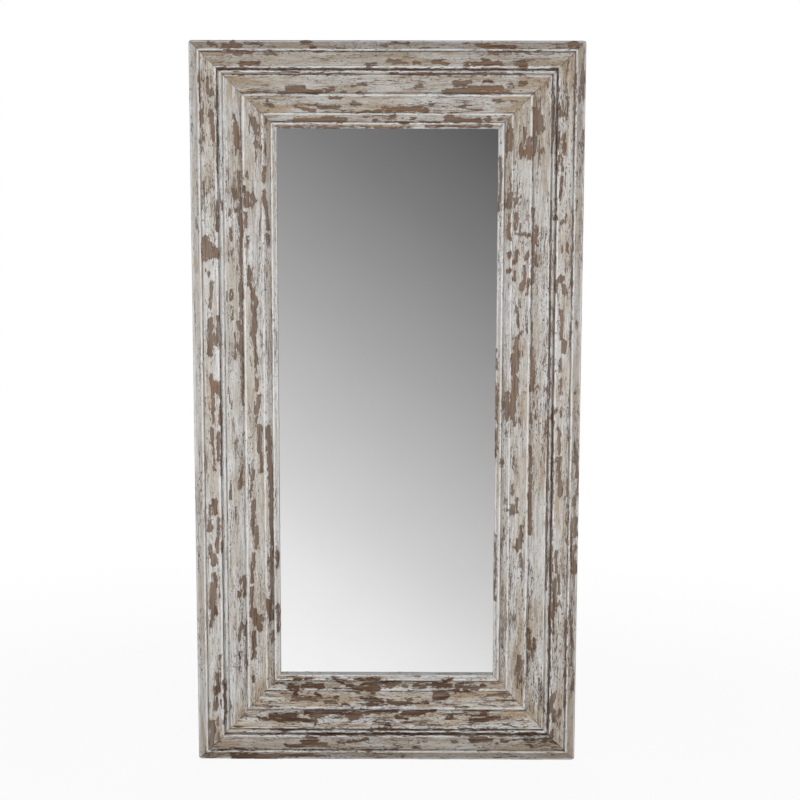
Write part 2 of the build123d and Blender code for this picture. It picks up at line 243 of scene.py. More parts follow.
def paintedTimber():
    # thick old white paint on softwood, flaked off along the grain
    look, size = paintLook, paintWear
    material, sheet, place = newMaterial("painted_timber")
    grain = sheet.mark("grain", "FLOAT_VECTOR")
    along, across, seed = (grain.axis(letter) for letter in "XYZ")
    wear, ridge, groove, painted, mitre, warm, inset = (sheet.mark(name) for name in (
        "wear", "ridge", "groove", "painted", "mitre", "warm", "inset"))
    # painted shade: the wood and paint get darker towards the bottom
    low = 1 - place.axis("Z").ease(0.0, size["shadeHeight"])

    def stretched(name):
        alongScale, acrossScale, detail, roughness, shift = paintNoise[name]
        spot = sheet.join(along * alongScale, across * acrossScale, seed + shift)
        return sheet.noise(spot, 1.0, detail, roughness)

    def coat(under, colour, share):
        return sheet.blend(share, under, look[colour])

    jag, rag, thin, blotch, broad, narrow, fibre, hue = (stretched(name) for name in (
        "jag", "rag", "thin", "blotch", "broad", "narrow", "fibre", "hue"))
    shape = wear + jag.swing(size["jagReach"]) + rag.swing(size["ragReach"])
    bare = shape.ease(-0.35, 0.35)
    lip = bare * (1 - shape.ease(0.5, 2.2))  # the shadow under the edge of the paint
    near = wear.ease(-12.0, -1.0)  # the paint round a flake
    patch = stretched("patch").ease(0.44, 0.60)
    streak = broad * 0.5 + narrow * 0.5
    corner = 1 - mitre.ease(0.0, size["cornerReach"])

    paint = sheet.blend(streak.ease(0.42, 0.55), look["plain"], look["bright"])
    paint = coat(paint, "cream", blotch.ease(0.42, 0.62) * (size["cream"] + warm * 0.3))
    # with warm the shade colour also paints shade over the top and bottom rails
    paint = coat(paint, "shade", (1 - streak.ease(0.37, 0.46)) * (size["shade"] + warm * 0.28))
    stain = thin + corner * 0.09 + low * 0.02 + warm * 0.03 + blotch.swing(0.3) + streak.swing(0.35) + near * 0.02
    stain = stain.ease(0.55, 0.66) * (size["stain"] + corner * 0.15 + warm * 0.2)
    paint = coat(paint, "ochre", stain * (1 - ridge * 0.8))
    # grimeAndShade: grime with painted shade on the outer bands, over whole rails (most on the top and bottom), and
    # on the upper inner bands
    grimeAndShade = (1 - inset.ease(0.020, 0.034)) * size["grimeAndShade"] + (1 - inset.ease(0.055, 0.085)) * warm * 0.30
    grimeAndShade = grimeAndShade + warm * (1.6 - warm) * 0.32 + warm * (1 - low) * inset.ease(0.075, 0.09) * 0.25
    paint = coat(paint, "shadeGrimeTone", grimeAndShade.least(0.8))
    # painted highlight along the ridges, where the paint is also kept cleaner
    paint = coat(paint, "bright", (ridge * 1.15).least(1.0) * (0.35 + narrow.ease(0.36, 0.46) * 0.6))

    # the finest wear: cracks, specks, frayed edges and dots
    crack = 1 - (stretched("crackLine") - 0.5).size().ease(0.010, 0.034)
    crack = crack * stretched("crackArea").ease(0.48, 0.58)
    speck = stretched("speck").ease(0.59, 0.66) * (near * 0.9 + warm * 0.2 + patch * 0.5)
    frayed = near * 0.55 + corner * 0.2 + patch * 0.4 + warm * 0.12 + 0.03
    fray = stretched("fray").ease(0.548, 0.592) * frayed
    worn = (crack * (0.5 + patch * 0.5)).most(speck).most(fray).least(1.0)
    paint = coat(paint, "bareGrey", worn * (1 - ridge * 0.5))
    paint = coat(paint, "bareDark", worn.ease(0.75, 1.0) * (0.45 + low * 0.35))
    dotted = patch * 0.6 + corner * 0.35 + warm * 0.25 + near * 0.45 + 0.05
    paint = coat(paint, "bareDark", (stretched("dots").ease(0.60, 0.645) * dotted).least(0.9))

    wood = coat(look["bareGrey"], "bareWarm", (hue + warm * 0.09).ease(0.46, 0.66) * (0.45 + warm * 0.55))
    # bare wood darker in its streaks, with painted shade on the bottom rail and low down
    darkened = (1 - streak.ease(0.40, 0.52)) * size["bareStreaks"] + warm * warm * 0.36
    wood = coat(wood, "bareDark", darkened + low * hue.ease(0.40, 0.60) * 0.42)
    wood = coat(wood, "shade", narrow.ease(0.56, 0.66) * size["paintInGrain"])
    wood = coat(wood, "bareDark", lip * size["lipShadow"])
    colour = sheet.blend(bare, paint, wood)
    # dirt and painted shade along the outer arris and on the side faces
    rim = (1 - inset.ease(0.4 * mm, 2.6 * mm)) * streak.ease(0.36, 0.56)
    colour = coat(colour, "bareDark", rim * (size["rimDirtAndShade"] + warm * 0.25))
    # dirt and painted shade in the grooves, strongest on the bottom and top rails
    inGroove = stretched("groove").ease(0.40, 0.60) * (size["grooveDirtAndShade"] + warm * 0.72) + warm * 0.15
    colour = coat(colour, "dirtAndShade", (groove * inGroove).least(0.9))
    joint = (1 - mitre.ease(size["jointWidth"] * 0.3, size["jointWidth"])) * stretched("joint").ease(0.35, 0.6)
    colour = coat(colour, "dirtAndShade", joint * size["jointDirt"])

    # the hidden faces stay raw
    pine = coat(look["pineDeep"], "pineLight", streak.ease(0.38, 0.62))
    pine = coat(pine, "pineDust", blotch.ease(0.55, 0.75) * 0.5)
    colour = sheet.blend((painted + jag.swing(0.8)).ease(0.45, 0.55), pine, colour)
    height = (1 - bare) * 0.6 + streak * 0.8 + fibre * 0.1 - worn * 0.4
    finishMaterial(sheet, {"Base Color": colour, "Roughness": 0.55 + bare * 0.28 + streak * 0.08,
                           "Specular IOR Level": 0.3}, height, size["relief"])
    return material


pineLook = {
    "light": tint(214, 182, 132), "ring": tint(186, 143, 92), "fibre": tint(168, 126, 80), "knot": tint(112, 68, 38),
    "alongScale": 2.2, "acrossScale": 26.0, "knotAlong": 3.1, "knotAcross": 7.5,
    "paintEdge": (0.4 * mm, 1.4 * mm), "relief": 0.4 * mm,
}


def pineTimber(name, alongAxis):
    # sawn softwood, its growth rings drawn out along the piece
    look = pineLook
    material, sheet, place = newMaterial(name)

    def drawnOut(alongScale, acrossScale):
        scales = [alongScale if letter == alongAxis else acrossScale for letter in "XYZ"]
        return sheet.arrow("MULTIPLY", place, tuple(scales))

    squeezed = drawnOut(look["alongScale"], look["acrossScale"])
    wander = sheet.noise(squeezed, 0.6, 3.0, 0.5)
    rings = sheet.put("ShaderNodeTexWave", {"wave_type": "BANDS", "bands_direction": "Y", "wave_profile": "SAW"},
                      {"Vector": sheet.arrow("ADD", squeezed, sheet.join(wander * 2.0, wander * 3.0, wander * 2.0)),
                       "Scale": 1.1, "Distortion": 3.0, "Detail": 3.0, "Detail Scale": 1.4}, "Fac")
    fine = sheet.noise(sheet.arrow("MULTIPLY", squeezed, (9.0, 9.0, 9.0)), 1.0, 3.0, 0.6)
    knots = sheet.put("ShaderNodeTexVoronoi", None,
                      {"Vector": drawnOut(look["knotAlong"], look["knotAcross"]), "Scale": 1.0}, "Distance")
    colour = sheet.blend(rings.ease(0.1, 0.95), look["light"], look["ring"])
    colour = sheet.blend(fine.ease(0.35, 0.7) * 0.35, colour, look["fibre"])
    colour = sheet.blend((1 - knots.ease(0.06, 0.17)) * 0.8, colour, look["knot"])
    # the frame's outer faces were painted with the mouldings
    near, far = look["paintEdge"]
    width, top, bottom = cadHigh.x, cadHigh.z, floorGap
    outside = place.axis("X").size().ease(width - far, width - near)
    outside = outside.most(place.axis("Z").ease(top - far, top - near))
    outside = outside.most(1 - place.axis("Z").ease(bottom + near, bottom + far))
    kept = 1 - sheet.noise(squeezed, 2.2, 5.0, 0.75).ease(0.55, 0.60)
    mottle = sheet.noise(squeezed, 5.0, 4.0, 0.7).ease(0.42, 0.56)
    colour = sheet.blend(outside * kept, colour, sheet.blend(mottle, paintLook["shade"], paintLook["plain"]))
    finishMaterial(sheet, {"Base Color": colour, "Roughness": 0.62 + fine * 0.15},
                   fine * 0.6 + rings * 0.25, look["relief"])
    return material


def fibreboard():
    material, sheet, place = newMaterial("fibreboard")
    felt = sheet.noise(place, 420.0, 4.0, 0.7, 1.5)
    cloud = sheet.noise(place, 9.0, 3.0, 0.5)
    fleck = sheet.noise(sheet.arrow("MULTIPLY", place, (900.0, 300.0, 500.0)), 1.0, 2.0, 0.5).ease(0.64, 0.7)
    colour = sheet.blend(felt.ease(0.3, 0.7), tint(112, 82, 56), tint(146, 110, 76))
    colour = sheet.blend(cloud.ease(0.4, 0.7) * 0.3, colour, tint(96, 70, 48))
    colour = sheet.blend(fleck * 0.5, colour, tint(182, 150, 112))
    finishMaterial(sheet, {"Base Color": colour, "Roughness": 0.7 + felt * 0.12}, felt, 0.2 * mm)
    return material


def rubber():
    material, sheet, place = newMaterial("rubber")
    pebble = sheet.noise(place, 900.0, 3.0, 0.6)
    dust = sheet.noise(place, 60.0, 4.0, 0.6).ease(0.5, 0.75)
    colour = sheet.blend(dust * 0.35, tint(34, 34, 35), tint(92, 90, 86))
    finishMaterial(sheet, {"Base Color": colour, "Roughness": 0.62 + pebble * 0.2}, pebble, 0.1 * mm)
    return material


def zinc(name, brightColour, dullColour):
    # zinc plate, faintly crystalline and dulled by handling
    material, sheet, place = newMaterial(name)
    spangle = sheet.put("ShaderNodeTexVoronoi", {"feature": "F1"}, {"Vector": place, "Scale": 260.0}, "Color")
    smear = sheet.noise(sheet.arrow("MULTIPLY", place, (180.0, 30.0, 60.0)), 1.0, 3.0, 0.6)
    colour = sheet.blend(spangle.axis("X") * 0.5 + smear * 0.4, brightColour, dullColour)
    finishMaterial(sheet, {"Base Color": colour, "Metallic": 1.0, "Roughness": 0.28 + smear * 0.22},
                   smear, 0.08 * mm)
    return material


def mirrorGlass():
    material, sheet, place = newMaterial("mirror_glass")
    film = sheet.noise(place, 5.0, 3.0, 0.6)
    colour = sheet.blend(film.ease(0.3, 0.8) * 0.3, tint(248, 247, 247), tint(242, 241, 241))
    finishMaterial(sheet, {"Base Color": colour, "Metallic": 1.0, "Roughness": film * 0.012 + 0.004})
    return material


def beechWood():
    material, sheet, place = newMaterial("beech")
    fleck = sheet.noise(sheet.arrow("MULTIPLY", place, (240.0, 900.0, 240.0)), 1.0, 3.0, 0.6)
    colour = sheet.blend(fleck.ease(0.35, 0.7), tint(206, 168, 128), tint(180, 136, 96))
    finishMaterial(sheet, {"Base Color": colour, "Roughness": 0.5 + fleck * 0.1}, fleck, 0.1 * mm)
    return material


timberPaint = paintedTimber()
pineUpright, pineLevel = pineTimber("pine_upright", "Z"), pineTimber("pine_level", "X")
boardBrown, blackRubber, glassSilver, beech = fibreboard(), rubber(), mirrorGlass(), beechWood()
screwZinc = zinc("screw_zinc", tint(214, 208, 190), tint(168, 158, 134))
plateZinc = zinc("plate_zinc", tint(208, 211, 214), tint(150, 154, 158))
print("materials made")

mouldingSize = {
    "width": 1065 * mm, "height": 1997 * mm, "frontLevel": -45 * mm, "cornerRadius": 8 * mm,
    "longStep": 2.35 * mm, "shortStep": 1.9 * mm,  # of the mesh, along the uprights and the others
    "flakeDepth": 0.9 * mm, "grainDepth": 0.16 * mm, "dentDepth": 0.9 * mm, "pitDepth": 1.1 * mm,
    "wander": 0.7 * mm, "strokeStep": 1.5 * mm, "crease": 0.9,  # a sharper edge, in radians, isn't smoothed
}
# each moulding's section runs round the piece in mm: (inset, level) for a straight run,
# (mid inset, mid level, inset, level) for an arc; "hidden" and "after" runs are left coarse and raw
outerSection = {
    "start": (76.5, -32.0), "grid": 1.35,
    "hidden": [(45.0, -32.0), (0.0, -32.0)],
    "shown": [(0.0, -3.0), (3.0, 0.0), (22.0, 6.0), (25.0, 8.2, 28.0, 6.0), (30.0, 2.8), (32.0, 6.0), (67.5, 8.4),
              (70.75, 10.0, 74.0, 8.4), (74.8, -1.6), (76.5, -1.6)],
}
innerSection = {
    "start": (76.5, -32.0), "grid": 1.5,
    "hidden": [(76.5, -1.6)],
    "shown": [(78.2, -1.6), (79.0, 4.4), (83.25, 8.9, 87.5, 4.4), (90.0, 0.4), (92.5, 2.9),
              (114.47, -5.8, 134.0, -19.1), (136.5, -23.5), (139.0, -23.5), (142.25, -22.5, 145.5, -23.5),
              (188.0, -38.5), (191.5, -36.9, 195.0, -38.5), (204.75, -45.46, 212.0, -55.0)],
    "after": [(212.0, -67.0), (187.0, -67.0)],
}
slipSection = {
    "start": (212.0, -74.0), "grid": 1.2,
    "hidden": [(212.0, -55.0)],
    "shown": [(216.0, -52.6, 220.0, -55.0), (228.0, -58.5), (228.0, -74.0)],
}
coarseGrid = 60.0
# (inset, half width) of the lines that keep their paint and a painted highlight, that gather dirt and painted shade,
# or that are filled with paint
ridgeLines = [(2.5, 2.0), (25.0, 2.4), (70.75, 2.6), (83.25, 3.0), (92.5, 1.3), (142.25, 2.4), (191.5, 2.4),
              (216.0, 2.6), (227.5, 1.6)]
grooveLines = [(30.0, 1.1), (76.0, 1.7), (90.0, 1.3), (136.8, 1.7), (188.2, 1.2), (212.0, 1.4)]
jointLines = [(76.5, 2.2)]


def arcPoints(first, middle, last, grid):
    # points on the arc through three places, the first one left out
    (ax, ay), (bx, by), (cx, cy) = first, middle, last
    d = 2 * (ax * (by - cy) + bx * (cy - ay) + cx * (ay - by))
    aa, bb, cc = ax**2 + ay**2, bx**2 + by**2, cx**2 + cy**2
    ux = (aa * (by - cy) + bb * (cy - ay) + cc * (ay - by)) / d
    uy = (aa * (cx - bx) + bb * (ax - cx) + cc * (bx - ax)) / d
    radius = math.hypot(ax - ux, ay - uy)
    start = math.atan2(ay - uy, ax - ux)
    sweep = (math.atan2(cy - uy, cx - ux) - start + math.pi) % (2 * math.pi) - math.pi
    count = max(3, round(abs(sweep) * radius / grid))
    turns = [start + sweep * i / count for i in range(1, count + 1)]
    return [(ux + radius * math.cos(turn), uy + radius * math.sin(turn)) for turn in turns]


def sectionPoints(section):
    # (inset, level, painted) round the section
    points = [section["start"] + (0.0,)]

    def run(steps, painted, grid):
        for step in steps:
            here = points[-1][:2]
            if len(step) == 4:
                fresh = arcPoints(here, step[:2], step[2:], grid)
            else:
                count = max(1, round(math.dist(here, step) / grid))
                fresh = [tuple(here[k] + (step[k] - here[k]) * i / count for k in (0, 1))
                         for i in range(1, count + 1)]
            points.extend(p + (painted,) for p in fresh)

    run(section["hidden"], 0.0, coarseGrid)
    points[-1] = points[-1][:2] + (1.0,)
    run(section["shown"], 1.0, section["grid"])
    run(section.get("after", []), 0.0, coarseGrid)
    return points


def sectionMesh(name, section):
    points = sectionPoints(section)
    mesh = bpy.data.meshes.new(name)
    count = len(points)
    mesh.from_pydata([(d * mm, h * mm, 0) for d, h, p in points], [(i, (i + 1) % count) for i in range(count)], [])
    marks = {"painted": [p for d, h, p in points]}
    for label, lines, power in (("ridge", ridgeLines, 2), ("groove", grooveLines, 2), ("joint", jointLines, 4)):
        marks[label] = [p * max(math.exp(-((d - at) / wide) ** power) for at, wide in lines) for d, h, p in points]
    for label, values in marks.items():
        mesh.attributes.new(label, "FLOAT", "POINT").data.foreach_set("value", values)
    return addObject(name, mesh)


def newTree(name, wanted):
    # an empty geometry tree with named inputs, given as {kind: names}
    tree = bpy.data.node_groups.new(name, "GeometryNodeTree")
    sockets = {label: tree.interface.new_socket(label, in_out="INPUT", socket_type="NodeSocket" + kind).identifier
               for kind, labels in wanted.items() for label in labels}
    tree.interface.new_socket("Geometry", in_out="OUTPUT", socket_type="NodeSocketGeometry")
    sheet = Sheet(tree)
    source = sheet.put("NodeGroupInput")
    return tree, sockets, sheet, {label: source.also(label) for label in sockets}


def finishTree(sheet, geometry, finish):
    geometry = sheet.put("GeometryNodeRealizeInstances", None, {"Geometry": geometry})
    geometry = sheet.put("GeometryNodeSetMaterial", None, {"Geometry": geometry, "Material": finish})
    sheet.put("NodeGroupOutput", None, {"Geometry": geometry})


def mouldingTree():
    tree, sockets, sheet, given = newTree("mitred_moulding", {
        "Object": ("section", "strokes"), "Vector": ("centre", "along", "inward"), "Material": ("finish",),
        "Float": ("length", "halfAcross", "step", "frontLevel", "cornerRadius", "flakeDepth", "grainDepth", "wander",
                  "dentDepth", "pitDepth", "strokeStep", "crease", "jointFill", "flaking", "warm", "seed")})

    # one long section swept along a line
    spline = sheet.put("GeometryNodeSplineParameter", None, None, "Length")
    line = sheet.put("GeometryNodeCurvePrimitiveLine", None, {"End": sheet.join(given["length"])})
    line = sheet.store(sheet.evenSteps(line, given["step"]), "run", spline)
    loop = sheet.put("GeometryNodeMeshToCurve", None, {"Mesh": sheet.shapeOf(given["section"])})
    loop = sheet.store(loop, "girth", spline)
    loop = sheet.store(loop, "profile", sheet.put("GeometryNodeInputPosition"), "FLOAT_VECTOR")
    swept = sheet.put("GeometryNodeCurveToMesh", None, {"Curve": line, "Profile Curve": loop, "Fill Caps": True})

    # where each point is on the mitred rail, with the frame's outer corners rounded
    profile = sheet.mark("profile", "FLOAT_VECTOR")
    inset, level = profile.axis("X"), profile.axis("Y")
    length, radius = given["length"], given["cornerRadius"]
    fromMiddle = (sheet.mark("run") - length * 0.5) * (1 - 2 * inset / length)
    fromEnd = length * 0.5 - fromMiddle.size()
    p, q = (radius - inset).most(0.0), (radius - fromEnd).most(0.0)
    pull = 1 - p / (p * p + q * q).calc("SQRT").most(1e-6)
    pull = pull * q.calc("GREATER_THAN", 0.0)
    railX = fromMiddle.calc("SIGN") * (length * 0.5 - (fromEnd + q * pull))
    insetRound = inset + p * pull
    grain = sheet.join(railX + length * 0.5, sheet.mark("girth"), given["seed"])
    swept = sheet.store(swept, "grain", grain, "FLOAT_VECTOR")
    swept = sheet.store(swept, "mitre", fromEnd - inset)
    swept = sheet.store(swept, "inset", inset)

    def onSurface(alongScale, acrossScale, detail, roughness, shift):
        grain = sheet.mark("grain", "FLOAT_VECTOR")
        return sheet.noise(sheet.join(grain.axis("X") * alongScale, grain.axis("Y") * acrossScale,
                                      given["seed"] + shift), 1.0, detail, roughness)

    # the flakes: drawn strokes, and a field stretched along the grain
    strokes = sheet.evenSteps(sheet.shapeOf(given["strokes"]), given["strokeStep"])
    spots = sheet.put("GeometryNodeCurveToPoints", {"mode": "EVALUATED"}, {"Curve": strokes}, "Points")
    here = sheet.join(sheet.mark("grain", "FLOAT_VECTOR").axis("X"), profile.axis("X"), 0.0)
    here = sheet.arrow("ADD", here, sheet.join(onSurface(22, 110, 4.0, 0.7, 40.0).swing(26 * mm),
                                               onSurface(40, 70, 5.0, 0.7, 44.0).swing(11 * mm), 0.0))
    nearest = sheet.put("GeometryNodeSampleNearest", None, {"Geometry": spots, "Sample Position": here})

    def atNearest(field, kind):
        return sheet.put("GeometryNodeSampleIndex", {"data_type": kind},
                         {"Geometry": spots, "Value": sheet.put(field), "Index": nearest})

    spotPlace = atNearest("GeometryNodeInputPosition", "FLOAT_VECTOR")
    away = sheet.arrow("DISTANCE", here, spotPlace, out="Value")
    drawn = (atNearest("GeometryNodeInputRadius", "FLOAT") - away) / mm + 0.6
    field = onSurface(8.5, 58, 6.0, 0.6, 50.0) + sheet.mark("groove") * 0.02 - sheet.mark("ridge") * 0.09
    field = field + onSurface(2.2, 9, 2.0, 0.5, 60.0).swing(0.16)
    scattered = (field - (0.735 - given["flaking"])) * 30
    swept = sheet.store(swept, "wear", drawn.most(scattered).most(-12.0).least(12.0))
    swept = sheet.store(swept, "warm", given["warm"])

    # the rails' slow wander, which dies out at the corners, so that mitres meet
    shown = sheet.mark("painted")
    calm = fromEnd.ease(0.0, 0.05)
    wander = given["wander"] * calm * shown
    insetMoved = insetRound + onSurface(7, 14, 2.0, 0.5, 70.0).swing(wander) * inset.ease(0.0, 0.02)
    levelMoved = level + onSurface(6, 20, 3.0, 0.5, 74.0).swing(wander) * 1.4
    filled = sheet.noise(sheet.join(railX * 9, 0.0, given["seed"] + 97.0), 1.0, 3.0, 0.6).ease(0.30, 0.44)
    levelMoved = levelMoved + sheet.mark("joint") * given["jointFill"] * filled * calm
    position = given["centre"]
    for step in (sheet.arrow("SCALE", given["along"], railX),
                 sheet.arrow("SCALE", given["inward"], insetMoved - given["halfAcross"]),
                 sheet.join(0.0, given["frontLevel"] - levelMoved, 0.0)):
        position = sheet.arrow("ADD", position, step)
    shaped = sheet.put("GeometryNodeSetPosition", None, {"Geometry": swept, "Position": position})

    # relief, only where the paint is
    wear = sheet.mark("wear")
    flake = wear.ease(-0.7, 0.7) * given["flakeDepth"]
    flake = flake + wear.ease(0.0, 6.0) * given["flakeDepth"] * 0.35
    ripple = onSurface(13, 330, 3.0, 0.6, 80.0).swing(given["grainDepth"]) * 2
    chatter = onSurface(45, 120, 3.0, 0.6, 84.0).swing(given["grainDepth"]) * 1.6
    dent = sheet.mark("ridge") * onSurface(55, 40, 2.0, 0.5, 90.0).ease(0.60, 0.72) * given["dentDepth"]
    pit = onSurface(130, 210, 1.0, 0.5, 95.0).ease(0.72, 0.78) * given["pitDepth"]
    raised = (ripple + chatter - flake - dent - pit) * shown * fromEnd.ease(0.0, 0.004)
    raised = sheet.arrow("SCALE", sheet.put("GeometryNodeInputNormal"), raised)
    shaped = sheet.put("GeometryNodeSetPosition", None, {"Geometry": shaped, "Offset": raised})
    bend = sheet.put("GeometryNodeInputMeshEdgeAngle", None, None, "Unsigned Angle")
    shaped = sheet.shade(shaped, True)
    shaped = sheet.shade(shaped, False, "EDGE", Selection=bend.calc("GREATER_THAN", given["crease"]))
    finishTree(sheet, shaped, given["finish"])
    return tree, sockets


def bakeNodes(name, tree, sockets, values):
    # runs a geometry tree once, each of its inputs taken from the values, and keeps the plain mesh
    carrier = addObject(name + "_making", bpy.data.meshes.new(name + "_making"))
    step = carrier.modifiers.new(name, "NODES")
    step.node_group = tree
    for label, socket in sockets.items():
        step[socket] = values[label]
    graph = bpy.context.evaluated_depsgraph_get()
    mesh = bpy.data.meshes.new_from_object(carrier.evaluated_get(graph), preserve_all_data_layers=True,
                                           depsgraph=graph)
    bpy.data.objects.remove(carrier)
    mesh.name = name
    return addObject(name, mesh)


def lineObject(name, runs, closed=False):
    # one curve of straight runs, given as (radius, places)
    curve = bpy.data.curves.new(name, "CURVE")
    curve.dimensions = "3D"
    for radius, places in runs:
        spline = curve.splines.new("POLY")
        spline.points.add(len(places) - 1)
        for point, place in zip(spline.points, places):
            point.co, point.radius = (*place, 1.0), radius
        spline.use_cyclic_u = closed
    return addObject(name, curve)
